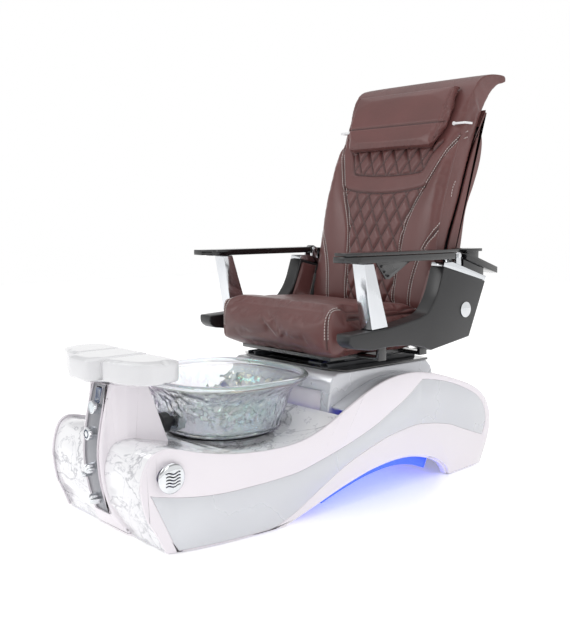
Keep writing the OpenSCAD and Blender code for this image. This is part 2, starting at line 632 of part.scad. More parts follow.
cushion_side = smooth([[seat_front + 48, cushion_z], [seat_front + 14, cushion_z + 14], [seat_front,
    cushion_z + 48],
    [seat_front + 4, cushion_top - 52], [seat_front + 20, cushion_top - 16], [seat_front + 60, cushion_top],
    [seat_rear - 40, cushion_top - 21], [seat_rear - 10, cushion_top - 32], [seat_rear, cushion_top - 56],
    [seat_rear, cushion_z + 32], [seat_rear - 9, cushion_z + 9], [seat_rear - 32, cushion_z]], 3);
// Half the cushion seen from above: square at the back, rounded towards the knees
cushion_plan = smooth([[seat_w / 2 - 56, seat_front], [seat_w / 2 - 16, seat_front + 14], [seat_w / 2,
    seat_front + 54],
    [seat_w / 2, seat_rear - 34], [seat_w / 2 - 9, seat_rear - 9], [seat_w / 2 - 34, seat_rear]], 3);
module seat_cushion() color("#7A5350") intersection() {
    across(-seat_w / 2 - 1, seat_w / 2 + 1) polygon(cushion_side);
    translate([0, 0, cushion_z - 1]) linear_extrude(seat_t + 2)
        polygon(concat(cushion_plan, [for (q = reversed(cushion_plan)) [-q.x, q.y]]));
}

// Side views of the arm, drawn as [y, z] for a seat front at y = -104 and an armrest 810 high
function on_arm(p) = [for (q = p) [seat_front + 104 + q.x, 500 + (q.y - 500) * (arm_h - 500) / 310]];
shell_outline = concat(
    smooth(on_arm([[-99, 570], [-98, 545], [-78, 526], [-50, 521]]), 4),
    smooth(on_arm([[-50, 521], [3, 514], [82, 517], [171, 513], [234, 503], [287, 487]]), 4),
    on_arm([[488, 516], [574, 706], [346, 764]]),
    smooth(on_arm([[346, 764], [318, 684], [288, 637], [252, 608], [172, 592], [72, 578]]), 4));
module arm_shell(s) color("#2C2C2E") side(s) difference() {
    across(arm_in, arm_out) polygon(shell_outline);
    across(arm_in - 1, arm_out - 6) polygon(on_arm([[360, 640], [474, 560], [530, 690], [384, 728]]));
}
module arm_shell_left() arm_shell(-1);
module arm_shell_right() arm_shell(1);
post_foot = on_arm([[4, 575.4], [80, 580]]);
post_head = on_arm([[-34, 787], [10, 787]]);
module arm_posts() color("#D6D7D9") both() across(arm_in + 2, arm_out - 6)
    polygon([post_head[0], post_head[1], post_foot[1], post_foot[0]]);
// The polished strip on the shell's slanted top, with the ears that hold the hinge pin
strip_low = on_arm([[346, 764.6], [574, 706.6]]);
strip_top = on_arm([[350, 778], [394, 778], [580, 722]]);
ear_x = [arm_mid - knuckle_w / 2 - ear_t - slide_gap, arm_mid + knuckle_w / 2 + slide_gap];
module arm_trims() color("#DCDDDF") both() difference() {
    union() {
        across(arm_in + 3, arm_out - 3) polygon([strip_low[0], strip_low[1], strip_top[2],
            strip_top[1], strip_top[0]]);
        for (x = ear_x) translate([x, 0, 0]) across(0, ear_t) polygon([[knuckle_y - 15,
            strip_top[2].y + 26],
            [knuckle_y + 15, strip_top[2].y + 26], [knuckle_y + 12, knuckle_z + 6], [knuckle_y + 6,
                knuckle_z + 11],
            [knuckle_y - 6, knuckle_z + 11], [knuckle_y - 12, knuckle_z + 6]]);
    }
    translate([arm_mid, knuckle_y, knuckle_z]) rod_x(pin_d / 2 + run_fit, 2 * arm_w);
}
module hinge_pins() color("#E4E5E7") both() {
    translate([arm_mid, knuckle_y, knuckle_z]) {
        rod_x(pin_d / 2, knuckle_w + 2 * ear_t + 2 * slide_gap);
        for (s = [-1, 1]) translate([s * (knuckle_w / 2 + ear_t + slide_gap + 2), 0, 0])
            rod_x(pin_d / 2 + 2.5, 4);
    }
    translate([back_w / 2 - 39, pivot_y, pivot_z]) rod_x(pin_d / 2, 32);
}
cap_y = knuckle_y + 32;
module arm_rear_caps() color("#2A2A2C") {
    both() {
        across(arm_in - 3, arm_out + 3) polygon([[cap_y, knuckle_z + 7], [cap_y + 22, knuckle_z + 4],
            [cap_y + 176, knuckle_z - 46], [cap_y + 176, knuckle_z - 68], [cap_y + 120, knuckle_z - 52],
            [cap_y, knuckle_z - 14]]);
        across(arm_mid - 18, arm_mid + 18) polygon([[cap_y + 2, knuckle_z - 10], [cap_y + 116,
            knuckle_z - 44],
            on_arm([[578, 723.4]])[0], on_arm([[464, 757.8]])[0]]);
    }
    translate([arm_in - tray_over, cap_y, tray_z]) cube([arm_w + 2 * tray_over, 84, tray_t]);
    across(arm_in + 4, arm_out - 4) polygon([[cap_y + 10, tray_z + 1], [cap_y + 10, knuckle_z],
        [cap_y + 74, knuckle_z - 16],
        [cap_y + 74, tray_z + 1]]);
}
badge_at = on_arm([[462, 612]])[0];
module arm_badges() color("#D9DADB") both() translate([arm_out + 1.5 + seam, badge_at.x, badge_at.y])
    rod_x(27, 3);
module arm_inner_pads() color("#6B4644") both() across(arm_in - 14, arm_in - seam)
    polygon(on_arm([[350, 752], [424, 736], [386, 606], [296, 622]]));

// ---- Armrests -----------------------------------------------------------------------
rest_front = seat_front - 22;
rest_head = rest_front + 74;
module rest_bar() difference() {
    union() {
        translate([arm_mid, knuckle_y, knuckle_z]) rod_x(knuckle_r, knuckle_w);
        translate([arm_mid - knuckle_w / 2, knuckle_y - 30, arm_h - rest_t]) cube([knuckle_w, 30, rest_t]);
        translate([arm_in - 1, rest_head, arm_h - rest_t]) cube([arm_w + 2, knuckle_y - rest_head - 26,
            rest_t]);
        translate([arm_mid, rest_head, arm_h - rest_t]) cylinder(r = arm_w / 2 + 1, h = rest_t);
        translate([arm_mid - 20, rest_front, arm_h - rest_t + 3]) cube([arm_w / 2 + 18, 90, rest_t - 3]);
    }
    translate([arm_mid, knuckle_y, knuckle_z]) rod_x(pin_d / 2 + run_fit, 2 * arm_w);
}
module armrest_left() color("#2A2A2C") side(-1) rest_bar();
tray_pivot = [arm_mid, rest_head];
tray_t = 10;
tray_over = 3.5;
tray_z = arm_h + slide_gap;
tray_pin_r = 7;
module armrest_right() color("#2A2A2C") difference() {
    rest_bar();
    translate([tray_pivot.x, tray_pivot.y, arm_h - rest_t - 1]) cylinder(r = tray_pin_r + run_fit,
        h = 2 * rest_t);
}
module side_tray() color("#303032") {
    translate([arm_in - tray_over, tray_pivot.y, tray_z]) cube([arm_w + 2 * tray_over,
        knuckle_y - 14 - tray_pivot.y, tray_t]);
    translate([tray_pivot.x, tray_pivot.y, tray_z]) cylinder(r = arm_w / 2 + tray_over, h = tray_t);
    translate([arm_mid - 22, rest_front + 8, tray_z]) cube([arm_w / 2 + 22, 60, tray_t]);
    translate([tray_pivot.x, tray_pivot.y, arm_h - rest_t]) cylinder(r = tray_pin_r,
        h = rest_t + slide_gap + 1);
}
// A triangular plate under the right armrest, with a foot and three bolts
module tray_bracket() color("#1C1C1E") translate([arm_in, 0, 0]) {
    under = arm_h - rest_t - seam;
    across(0, 6) polygon([[seat_front + 174, under], [seat_front + 346, under],
        [seat_front + 240, under - 58], [seat_front + 222, under - 58]]);
    for (p = [[200, 16], [214, 34], [232, 48]]) translate([6, seat_front + p[0], under - p[1]])
        rod_x(4, 14);
    translate([-1, seat_front + 168, under - 4]) cube([13, 184, 4]);
}

// ---- Backrest -----------------------------------------------------------------------
// Side views of the back, drawn as [y, z] from its foot for a back 858 high
function on_back(p) = [for (q = p) [back_foot_y + q.x, back_foot_z + q.y * back_h / 858]];
back_line = smooth(on_back([[0, 0], [7, 80], [19, 160], [32, 245], [60, 390], [113, 540], [163, 655],
    [206, 755], [240, 813]]), 4);
crest_line = smooth(on_back([[240, 813], [272, 842], [326, 855], [372, 858], [408, 856], [424, 844],
    [420, 822], [376, 810]]), 4);
inner_line = smooth(on_back([[376, 810], [340, 782], [300, 730], [262, 660], [206, 540], [152, 390],
    [cushion_t + 34, 245], [cushion_t + 20, 160], [cushion_t + 8, 80], [cushion_t + 2, 0]]), 4);
module back_cushion() color("#7A5350") across(-back_w / 2, back_w / 2)
    polygon(concat(back_line, crest_line, inner_line));
cover_t = 5;
cover_gap = 2;
shell_line = smooth(on_back([[cushion_t + 40, 10], [144, 120], [166, 238], [190, 360], [232, 450],
    [264, 530],
    [276, 600], [270, 665], [300, 725]]), 4);
cover_inner = shifted(span_z(reversed(inner_line), back_foot_z + 10, back_foot_z + 725 / 858 * back_h),
    cover_gap);
function span_z(p, low, high) = [for (q = p) if (q.y >= low && q.y <= high) q];
module rear_cover() color("#4A3231") difference() {
    across(-back_w / 2 + 6, back_w / 2 - 6) polygon(concat(cover_inner, reversed(shell_line)));
    across(-back_w / 2 + 6 + cover_t, back_w / 2 - 6 - cover_t) polygon(concat(shifted(cover_inner, -20),
        reversed(shifted(shell_line, -cover_t))));
    across(-back_w / 2 + 6 + cover_t, back_w / 2 - 6 - cover_t)
        polygon(on_back([[cushion_t - 20, -10], [cushion_t + 34, -10], [cushion_t + 34, 30],
            [cushion_t - 20, 30]]));
}
module back_frame() color("#3C3E42") {
    both() difference() {
        union() {
            translate([back_w / 2 - 33, pivot_y, pivot_z]) rod_x(20, 8);
            translate([back_w / 2 - 37, 0, 0]) across(0, 8) polygon([[pivot_y - 16, pivot_z + 8],
                [pivot_y + 16, pivot_z + 8],
                on_back([[100, 40]])[0], on_back([[112, 150]])[0], on_back([[96, 150]])[0],
                    on_back([[80, 40]])[0]]);
            translate([back_w / 2 - 60, 0, 0]) across(0, 24) polygon(on_back([[88, 60], [112, 60],
                [138, 240],
                [182, 375], [232, 500], [208, 500], [160, 375], [114, 240]]));
        }
        translate([back_w / 2 - 33, pivot_y, pivot_z]) rod_x(pin_d / 2 + run_fit, 60);
    }
    for (q = [[[92, 60], [110, 60], [113, 84], [95, 84]], [[196, 470], [214, 470], [222, 490], [204, 490]]])
        across(-back_w / 2 + 50, back_w / 2 - 50) polygon(on_back(q));
}
// The headrest pillow hangs over the upper part of the back
pillow_t = 42;
pillow_line = span_z(back_line, back_foot_z + 548 / 858 * back_h, back_foot_z + 812 / 858 * back_h);
module headrest_pillow() color("#6E4947") intersection() {
    across(-280, 280) polygon(ribbon(shifted(pillow_line, -1), -pillow_t));
    translate([0, 1000, back_foot_z]) rotate([90, 0, 0]) linear_extrude(1200)
        polygon([for (q = [[-184, 550], [184, 550], [242, 652], [252, 730], [242, 812], [-242, 812],
            [-252, 730],
            [-242, 652]]) [q.x * back_w / 612, q.y * back_h / 858]]);
}
strap_p = on_back([[166, 668]])[0];
module shoulder_straps() color("#E6E6E8") both() {
    translate([back_w / 2 - 42, strap_p.x - 5.6, strap_p.y - 4]) cube([46, 5, 8]);
    translate([back_w / 2 + 0.6, strap_p.x - 5.6, strap_p.y - 4]) cube([4, 42, 8]);
    translate([back_w / 2 - 46, strap_p.x - 4, strap_p.y]) rod_y(7, 6);
}
massage_at = on_back([[178, 385]])[0];
module massage_unit() color("#5B5D62") translate([0, massage_at.x, massage_at.y]) rotate([-20, 0, 0]) {
    cube([240, 24, 110], center = true);
    both() for (z = [-28, 28]) translate([70, -12, z]) rod_x(9, 40);
}

side_panel_left();
side_panel_right();
side_inlay_left();
side_inlay_right();
marble_deck();
saddle_skin();
underbody_pan();
base_frame();
leveling_feet();
column_shell();
control_strip();
display_panel();
jet_covers();
glass_bowl();
bowl_gasket();
drain_fitting();
drain_pipe();
drain_pump();
mixing_valve();
supply_pipes();
filler_spout();
jet_motor();
jet_housing();
backsplash();
pedestal_shell();
top_plate();
slide_rails();
led_strips();
control_box();
footrest_bracket();
footrest();
jet_knob();
selector_knob();
hot_water_knob();
cold_water_knob();
diverter_pull();
jet_impeller();
drain_stopper();
slide_carriage();
slide_lever();
seat_frame();
seat_cushion();
arm_shell_left();
arm_shell_right();
arm_posts();
arm_trims();
arm_rear_caps();
arm_badges();
arm_inner_pads();
hinge_pins();
armrest_left();
armrest_right();
side_tray();
tray_bracket();
back_frame();
back_cushion();
rear_cover();
headrest_pillow();
shoulder_straps();
massage_unit();
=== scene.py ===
"""A spa pedicure unit: a long moulded base with a glass foot bowl, a control column with a
footrest, and a reclining chair on a pedestal. Sizes are in metres unless a name says mm."""

import json
import math

import bmesh
import bpy
import numpy as np
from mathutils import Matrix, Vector, noise
from mathutils.bvhtree import BVHTree


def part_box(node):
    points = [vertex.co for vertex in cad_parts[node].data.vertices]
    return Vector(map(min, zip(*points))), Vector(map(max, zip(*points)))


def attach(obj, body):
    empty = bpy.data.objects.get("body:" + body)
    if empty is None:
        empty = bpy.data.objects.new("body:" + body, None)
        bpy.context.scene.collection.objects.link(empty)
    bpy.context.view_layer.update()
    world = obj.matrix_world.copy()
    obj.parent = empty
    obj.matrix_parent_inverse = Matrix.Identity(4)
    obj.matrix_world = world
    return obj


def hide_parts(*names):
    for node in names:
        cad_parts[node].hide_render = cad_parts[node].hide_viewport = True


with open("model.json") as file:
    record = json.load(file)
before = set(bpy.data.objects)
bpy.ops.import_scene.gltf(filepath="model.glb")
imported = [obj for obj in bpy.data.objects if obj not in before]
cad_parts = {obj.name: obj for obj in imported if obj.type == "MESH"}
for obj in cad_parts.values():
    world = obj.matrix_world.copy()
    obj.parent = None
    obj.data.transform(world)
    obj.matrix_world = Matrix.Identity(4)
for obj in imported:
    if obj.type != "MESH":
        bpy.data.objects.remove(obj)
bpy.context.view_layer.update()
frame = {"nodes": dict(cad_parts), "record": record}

# ---- Camera and studio ----------------------------------------------------------------------
# A long lens at chest height looks along the base from the footrest's side. The floor is a
# pale sheet and the light comes from three large soft boxes and a white room.
scene = bpy.context.scene
base_low, base_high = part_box("side_panel_right")
middle_y = (base_low.y + base_high.y) / 2
camera = bpy.data.objects.new("camera", bpy.data.cameras.new("camera"))
scene.collection.objects.link(camera)
scene.camera = camera
camera.data.lens = 52.34
camera.location = (2.317, middle_y - 2.036, 0.94)
camera.rotation_euler = (math.radians(90 - 6.06), 0, math.radians(49))

scene.view_settings.view_transform = "Standard"
world = bpy.data.worlds.new("room")
scene.world = world
world.use_nodes = True

SOFT_BOXES = (
    # name, place, aimed at, width and height, watts
    ("key_light", (-1.5, middle_y - 2.6, 2.6), (0, 0, 0.5), (1.5, 1.5), 26),
    ("side_light", (3.4, middle_y - 0.4, 2.2), (0, 0, 0.6), (1.2, 2.0), 16),
    ("top_light", (0.2, middle_y + 0.6, 3.4), (0, 0, 0.4), (2.4, 2.4), 12),
)
for name, place, target, size, watts in SOFT_BOXES:
    lamp = bpy.data.lights.new(name, "AREA")
    lamp.shape, lamp.size, lamp.size_y, lamp.energy = "RECTANGLE", *size, watts
    box = bpy.data.objects.new(name, lamp)
    scene.collection.objects.link(box)
    box.location = place
    box.rotation_euler = (Vector(target) - Vector(place)).to_track_quat("-Z", "Y").to_euler()


def linear(colour):
    """An sRGB hex colour as the linear values that a socket takes."""
    parts = [int(colour[i : i + 2], 16) / 255 for i in (1, 3, 5)]
    return tuple(c / 12.92 if c <= 0.04045 else ((c + 0.055) / 1.055) ** 2.4 for c in parts) + (1,)


def put(tree, kind, feeds=None, **settings):
    """Adds a node. Settings are its properties or sockets, feeds link its sockets."""
    made = tree.nodes.new(kind)
    for key, value in settings.items():
        if hasattr(made, key):
            setattr(made, key, value)
        else:
            made.inputs[key.replace("_", " ")].default_value = value
    for socket, source in (feeds or {}).items():
        tree.links.new(source, made.inputs[socket])
    return made


def finish(name, colour, roughness, metallic=0.0, tint=None, patch_mm=60.0, grain_mm=2.0,
           relief_mm=0.05, wear=0.06, **shader):
    """A material with a soft change of tint and sheen over its surface, and a fine relief."""
    made = bpy.data.materials.new(name)
    made.use_nodes = True
    tree = made.node_tree
    bsdf = tree.nodes["Principled BSDF"]
    for key, value in dict(Metallic=metallic, **shader).items():
        bsdf.inputs[key.replace("_", " ")].default_value = value
    place = put(tree, "ShaderNodeTexCoord").outputs["Object"]
    patches = put(tree, "ShaderNodeTexNoise", {"Vector": place}, Scale=1000 / patch_mm,
                  Detail=4.0)
    blend = put(tree, "ShaderNodeMix", {"Factor": patches.outputs["Fac"]}, data_type="RGBA")
    blend.inputs["A"].default_value = linear(colour)
    blend.inputs["B"].default_value = linear(tint or colour)
    tree.links.new(blend.outputs["Result"], bsdf.inputs["Base Color"])
    sheen = put(tree, "ShaderNodeMapRange", {"Value": patches.outputs["Fac"]},
                To_Min=max(0.02, roughness - wear), To_Max=roughness + wear)
    tree.links.new(sheen.outputs["Result"], bsdf.inputs["Roughness"])
    grain = put(tree, "ShaderNodeTexNoise", {"Vector": place}, Scale=1000 / grain_mm, Detail=2.0)
    bump = put(tree, "ShaderNodeBump", {"Height": grain.outputs["Fac"]},
               Distance=relief_mm / 1000, Strength=0.6)
    tree.links.new(bump.outputs["Normal"], bsdf.inputs["Normal"])
    return made


# The room is white at the horizon and overhead, with a greyer belt between, so that bright
# metal and gloss black have something to mirror.
room = world.node_tree
heading = put(room, "ShaderNodeTexCoord").outputs["Generated"]
height = put(room, "ShaderNodeSeparateXYZ", {"Vector": heading}).outputs["Z"]
belt = put(room, "ShaderNodeValToRGB", {"Fac": height})
belt.color_ramp.elements[0].position, belt.color_ramp.elements[0].color = 0.27, (1, 1, 1, 1)
belt.color_ramp.elements[1].position, belt.color_ramp.elements[1].color = 0.9, (1, 1, 1, 1)
for position, level in ((0.42, 0.4), (0.6, 0.4), (0.72, 0.95)):
    stop = belt.color_ramp.elements.new(position)
    stop.color = (level, level, level, 1)
room.links.new(belt.outputs["Color"], room.nodes["Background"].inputs["Color"])
room.nodes["Background"].inputs["Strength"].default_value = 1.0

floor_mesh = bpy.data.meshes.new("floor")
floor_mesh.from_pydata([(-9, -9, 0), (9, -9, 0), (9, 9, 0), (-9, 9, 0)], [], [(0, 1, 2, 3)])
floor = bpy.data.objects.new("floor", floor_mesh)
scene.collection.objects.link(floor)
floor_mesh.materials.append(finish("studio_floor", "#FFFFFF", 0.32, patch_mm=900, relief_mm=0.0,
                                    Emission_Color=linear("#FFFFFF"), Emission_Strength=0.3))

# ---- How a hard piece is finished -----------------------------------------------------------
# The moulded and machined pieces keep the shapes of the frame. Each gets the small rounding
# that its tool leaves on the edges, and the surface of its material.
BODIES = frame["record"]["behaviour"]["bodies"]
BODY = {node: body for body, group in BODIES.items() for node in group}


def joined_copy(node):
    """The node's mesh as one welded surface with flat faces merged."""
    shell = bmesh.new()
    shell.from_mesh(frame["nodes"][node].data)
    bmesh.ops.remove_doubles(shell, verts=shell.verts, dist=1e-5)
    bmesh.ops.dissolve_limit(shell, angle_limit=math.radians(0.4), verts=shell.verts,
                             edges=shell.edges)
    mesh = bpy.data.meshes.new(node)
    shell.to_mesh(mesh)
    shell.free()
    return mesh


def flattened(obj):
    """Turns the object's modifiers into plain mesh."""
    graph = bpy.context.evaluated_depsgraph_get()
    mesh = bpy.data.meshes.new_from_object(obj.evaluated_get(graph))
    obj.modifiers.clear()
    obj.data = mesh
    return obj


def smoothed(mesh, degrees=32):
    mesh.polygons.foreach_set("use_smooth", [True] * len(mesh.polygons))
    mesh.set_sharp_from_angle(angle=math.radians(degrees))


def settle(obj, node, material=None):
    """The finished piece rides where its frame node does, and takes its place."""
    if material:
        obj.data.materials.clear()
        obj.data.materials.append(material)
    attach(obj, BODY[node])
    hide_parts(node)
    return obj


def hard(node, piece, material, edge_mm=1.0, segments=2, degrees=32):
    obj = bpy.data.objects.new(piece, joined_copy(node))
    scene.collection.objects.link(obj)
    if edge_mm:
        bevel = obj.modifiers.new("rounding", "BEVEL")
        bevel.width, bevel.segments = edge_mm / 1000, segments
        bevel.limit_method, bevel.angle_limit = "ANGLE", math.radians(degrees)
        bevel.use_clamp_overlap = False
        flattened(obj)
    smoothed(obj.data, degrees)
    return settle(obj, node, material)


# ---- Base -----------------------------------------------------------------------------------
# Two side panels, a deck and a saddle are moulded in fibreglass with a gel coat. The sides
# carry a recessed inlay in pearl silver, and the deck is coated as white marble.
gelcoat = finish("moulded_gelcoat_white", "#EBE6EB", 0.16, tint="#E5DFE5", patch_mm=300, grain_mm=9,
                 relief_mm=0.05, Coat_Weight=0.6, Coat_Roughness=0.05)
pearl = finish("pearl_silver_coat", "#D6D8DC", 0.27, metallic=0.35, tint="#C7C8CE", patch_mm=420,
               grain_mm=1.2, relief_mm=0.02, Coat_Weight=0.5, Coat_Roughness=0.08)


def marble_coat():
    """Cast marble gel coat: white, clouded, with a few thin grey veins that run aslant."""
    made = finish("marble_gelcoat", "#EFEFF1", 0.14, tint="#E9E9EC", patch_mm=130, grain_mm=12,
                  relief_mm=0.02, Coat_Weight=0.7, Coat_Roughness=0.04)
    tree, bsdf = made.node_tree, made.node_tree.nodes["Principled BSDF"]
    ground = bsdf.inputs["Base Color"].links[0].from_socket
    place = put(tree, "ShaderNodeTexCoord").outputs["Object"]
    turned_place = put(tree, "ShaderNodeMapping", {"Vector": place}, Rotation=(0.7, 0.5, 0.9))
    for width_mm, colour, start, end in ((190, "#8F8F98", 0.016, 0.0), (70, "#A9A9B2", 0.012, 0.0)):
        warp = put(tree, "ShaderNodeTexNoise", {"Vector": turned_place.outputs["Vector"]},
                   Scale=1000 / width_mm / 1.7, Detail=6.0, Roughness=0.62, Distortion=0.7)
        centre = put(tree, "ShaderNodeMath", {0: warp.outputs["Fac"]}, operation="SUBTRACT")
        centre.inputs[1].default_value = 0.5
        distance = put(tree, "ShaderNodeMath", {0: centre.outputs[0]}, operation="ABSOLUTE")
        vein = put(tree, "ShaderNodeMapRange", {"Value": distance.outputs[0]},
                   From_Min=0.0, From_Max=start, To_Min=0.7, To_Max=end)
        mixed = put(tree, "ShaderNodeMix", {"Factor": vein.outputs["Result"]}, data_type="RGBA")
        tree.links.new(ground, mixed.inputs["A"])
        mixed.inputs["B"].default_value = linear(colour)
        ground = mixed.outputs["Result"]
    tree.links.new(ground, bsdf.inputs["Base Color"])
    return made


marble = marble_coat()
for hand in ("left", "right"):
    hard(f"side_panel_{hand}", f"{hand}_side_panel_moulding", gelcoat, edge_mm=3.0, segments=3)
    hard(f"side_inlay_{hand}", f"{hand}_side_inlay_sheet", pearl, edge_mm=0.6)
hard("marble_deck", "marble_deck_moulding", marble, edge_mm=1.6)
hard("saddle_skin", "saddle_moulding", pearl, edge_mm=1.6)
hard("column_shell", "column_moulding", gelcoat, edge_mm=7.0, segments=4)
hard("backsplash", "backsplash_moulding", gelcoat, edge_mm=3.0, segments=3)
hard("pedestal_shell", "pedestal_moulding", pearl, edge_mm=6.0, segments=4)

# ---- Light under the base -------------------------------------------------------------------
# A shallow clear pan hangs under the arch with a strip of blue lamps on each side, so the floor
# below it is washed in blue. The pan's own blue colour and glow are painted light: the lamps' blue
# painted onto its underside.
# Painted light: the pan gets a blue colour and a glow that stand in for the lamps' light falling on
# it.
pan_painted_glow = finish("pan_painted_blue_light", "#2F59E6", 0.35, tint="#5A7DF0", patch_mm=240, relief_mm=0.0,
              Emission_Color=linear("#1430F0"), Emission_Strength=1.3)
lamp_blue = finish("blue_lamp_strip", "#3A6CFF", 0.3, patch_mm=30, relief_mm=0.0,
                   Emission_Color=linear("#2A55FF"), Emission_Strength=3.5)
hard("underbody_pan", "underbody_pan_painted_blue", pan_painted_glow, edge_mm=1.0)
hard("led_strips", "blue_lamp_strips", lamp_blue, edge_mm=0)

# ---- Control column -------------------------------------------------------------------------
# A brushed steel strip in a white border runs down the front of the column. It carries a
# display, two round knobs, two water taps and a small pull.
brushed = finish("brushed_steel_strip", "#9A9BA0", 0.3, metallic=1.0, tint="#85868B", patch_mm=80,
                 grain_mm=0.8, relief_mm=0.03)
chrome = finish("polished_chrome", "#E4E6E8", 0.05, metallic=1.0, tint="#D2D5D8", patch_mm=40,
                grain_mm=6, relief_mm=0.01, wear=0.02)
display = finish("tinted_display_window", "#31415F", 0.08, tint="#4C5E80", patch_mm=30,
                 relief_mm=0.0, Coat_Weight=1.0, Coat_Roughness=0.03)
knob_face = finish("moulded_abs_white", "#E2E8EC", 0.2, tint="#D4DCE2", patch_mm=20,
                   grain_mm=1.5, relief_mm=0.01)
hard("control_strip", "control_strip_plate", brushed, edge_mm=1.5)
hard("display_panel", "display_window", display, edge_mm=1.0)


def turned(node, piece, materials, profile, lobes=0, lobe_mm=0.0, steps=96):
    """A knob turned about its own axis, which points out of the column. The profile lists
    share of the radius, share of the depth, and which material faces out from there on."""
    low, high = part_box(node)
    centre, radius, depth = (low + high) / 2, (high.x - low.x) / 2, high.y - low.y
    spindle_share = 0.4
    mesh = bmesh.new()
    rings = []
    for share_r, share_d, _ in profile:
        ring = []
        for i in range(steps):
            angle = 2 * math.pi * i / steps
            r = share_r * radius
            if lobes and share_r > spindle_share:
                r -= lobe_mm / 1000 * (0.5 - 0.5 * math.cos(lobes * angle))
            x, z = centre.x + r * math.cos(angle), centre.z + r * math.sin(angle)
            ring.append(mesh.verts.new((x, high.y - share_d * depth, z)))
        rings.append(ring)
    for (near, far), (_, _, which) in zip(zip(rings, rings[1:]), profile):
        for i in range(steps):
            j = (i + 1) % steps
            face = mesh.faces.new((near[i], near[j], far[j], far[i]))
            face.material_index = which
    for ring in (rings[0], rings[-1]):
        mesh.faces.new(ring)
    mesh.faces.ensure_lookup_table()
    mesh.faces[-1].material_index = profile[-1][2]
    bmesh.ops.recalc_face_normals(mesh, faces=mesh.faces)
    data = bpy.data.meshes.new(piece)
    mesh.to_mesh(data)
    mesh.free()
    for material in materials:
        data.materials.append(material)
    smoothed(data, 40)
    obj = bpy.data.objects.new(piece, data)
    scene.collection.objects.link(obj)
    return settle(obj, node)


knob_ring = ((0.42, 0.0, 0), (0.42, 0.42, 0), (0.96, 0.46, 0), (1.0, 0.52, 0), (1.0, 0.82, 0),
             (0.95, 0.93, 0))
turned("jet_knob", "water_jet_knob", (chrome, knob_face), (
    *knob_ring, (0.8, 0.96, 0), (0.76, 0.9, 1), (0.7, 0.9, 1), (0.4, 0.97, 1), (0.12, 1.0, 1)))
turned("selector_knob", "selector_knob_ring", (chrome, display), (
    *knob_ring, (0.72, 0.96, 0), (0.68, 0.88, 1), (0.5, 0.88, 1), (0.46, 0.96, 0),
    (0.1, 1.0, 0)), lobes=12, lobe_mm=1.2)
for water in ("hot", "cold"):
    turned(f"{water}_water_knob", f"{water}_water_tap", (chrome,), (
        (0.5, 0.0, 0), (0.5, 0.3, 0), (0.72, 0.34, 0), (0.98, 0.46, 0), (1.0, 0.56, 0),
        (0.94, 0.86, 0), (0.84, 0.96, 0), (0.5, 1.0, 0), (0.1, 0.99, 0)), lobes=6, lobe_mm=3.6)
turned("diverter_pull", "diverter_pull_stem", (chrome,), (
    (0.55, 0.0, 0), (0.55, 0.4, 0), (0.9, 0.5, 0), (1.0, 0.62, 0), (1.0, 0.86, 0), (0.8, 0.98, 0),
    (0.1, 1.0, 0)))
hard("jet_covers", "vent_covers_slotted", chrome, edge_mm=0.7, degrees=40)

# ---- Foot bowl ------------------------------------------------------------------------------
# The bowl is cast in clear glass with a rippled wall and a thick rolled rim. The glass is
# coated so thinly that it breaks the light into pale colours.
glass = finish("cast_glass_clear", "#FBFCFD", 0.03, tint="#F4F8FA", patch_mm=70,
               relief_mm=0.0, wear=0.01, Transmission_Weight=0.9, IOR=1.4,
               Thin_Film_Thickness=420.0, Thin_Film_IOR=1.6)
bowl_low, bowl_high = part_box("glass_bowl")
bowl_centre = (bowl_low + bowl_high) / 2
half_x, half_y = (bowl_high.x - bowl_low.x) / 2, (bowl_high.y - bowl_low.y) / 2
bowl_depth = bowl_high.z - bowl_low.z
glass_t = 0.009
foot_half = 0.191
drain_hole = 0.03
wall_lean = 0.04
flare_from = 0.62
cell_m = 0.021
wall_rings = 44
foot_rise, lip_drop = 0.006, 0.022
outer_ripple_mm, inner_ripple_mm = 9.0, 4.0


def bowl_ring(radius_x, radius_y, z, ripple_mm, steps=300):
    """One level of the bowl, square with very round corners, with the ripples of the wall."""
    for i in range(steps):
        angle = 2 * math.pi * i / steps
        c, s = math.cos(angle), math.sin(angle)
        squareness = 2 + 0.7 * min(1.0, radius_x / half_x)
        reach = (abs(c) ** squareness + abs(s) ** squareness) ** (-1 / squareness)
        x, y = radius_x * reach * c, radius_y * reach * s
        wave = noise.voronoi(Vector((x, y, z * 0.7)) / cell_m)[0][0]
        inward = 1 - ripple_mm / 1000 * (0.8 - wave) / max(radius_x, 0.05)
        yield (bowl_centre.x + x * inward, bowl_centre.y + y * inward, z)


def wall_radius(t):
    """Half the bowl's width at a share t of its height: a steep wall under a flared rim."""
    flare = half_x - 0.004 - foot_half - wall_lean
    return foot_half + wall_lean * t + flare * max(0.0, (t - flare_from) / (1 - flare_from)) ** 1.8


